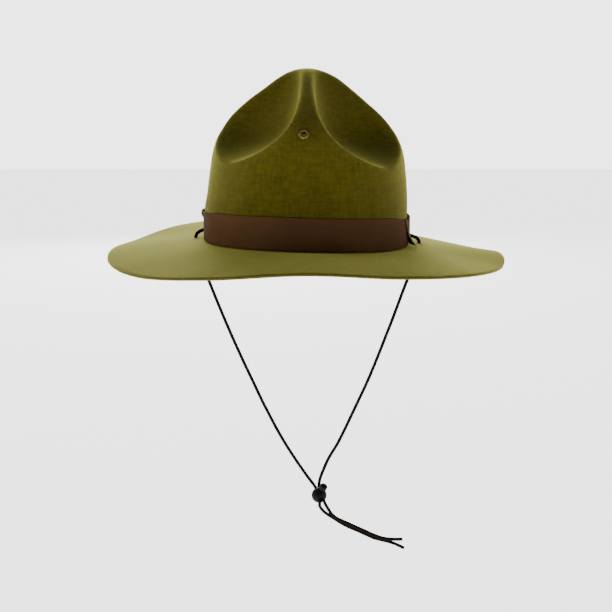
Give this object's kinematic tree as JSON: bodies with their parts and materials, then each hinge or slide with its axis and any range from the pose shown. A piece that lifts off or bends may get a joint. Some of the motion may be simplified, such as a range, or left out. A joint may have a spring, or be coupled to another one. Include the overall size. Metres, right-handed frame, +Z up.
{
  "type": "campaign hat",
  "caption": "Felt campaign hat with a four-dent peaked crown, flat brim, strap band, front eyelet and a chin cord that hangs in a spring cord lock.",
  "frame": {"origin": "middle of the head opening at the height of the crown's foot at the front, where the hat sits on a head", "axes": "+Z up, the front of the hat faces -Y, +X towards the wearer's left"},
  "size_m": [0.3268, 0.3638, 0.4141],
  "materials": {
    "felt": "matte olive wool felt, brushed nap",
    "strap": "satin dark brown leather",
    "eyelet": "satin brass",
    "cord": "twisted black cord",
    "lock": "satin black plastic"
  },
  "bodies": {
    "hat": {"felt_body": "felt", "band_front": "strap", "band_rear": "strap", "front_eyelet": "eyelet", "cord_back": "cord", "cord_right": "cord", "cord_left": "cord", "lock_barrel": "lock"},
    "button": {"lock_plunger": "lock"}
  },
  "joints": [
    {"name": "lock_button_press", "type": "slide", "parent": "hat", "child": "button", "axis": [0.3602, -0.3602, 0.8605], "range_m": [-0.002, 0], "stiffness_N_per_m": 400, "springref_m": 0.003}
  ]
}
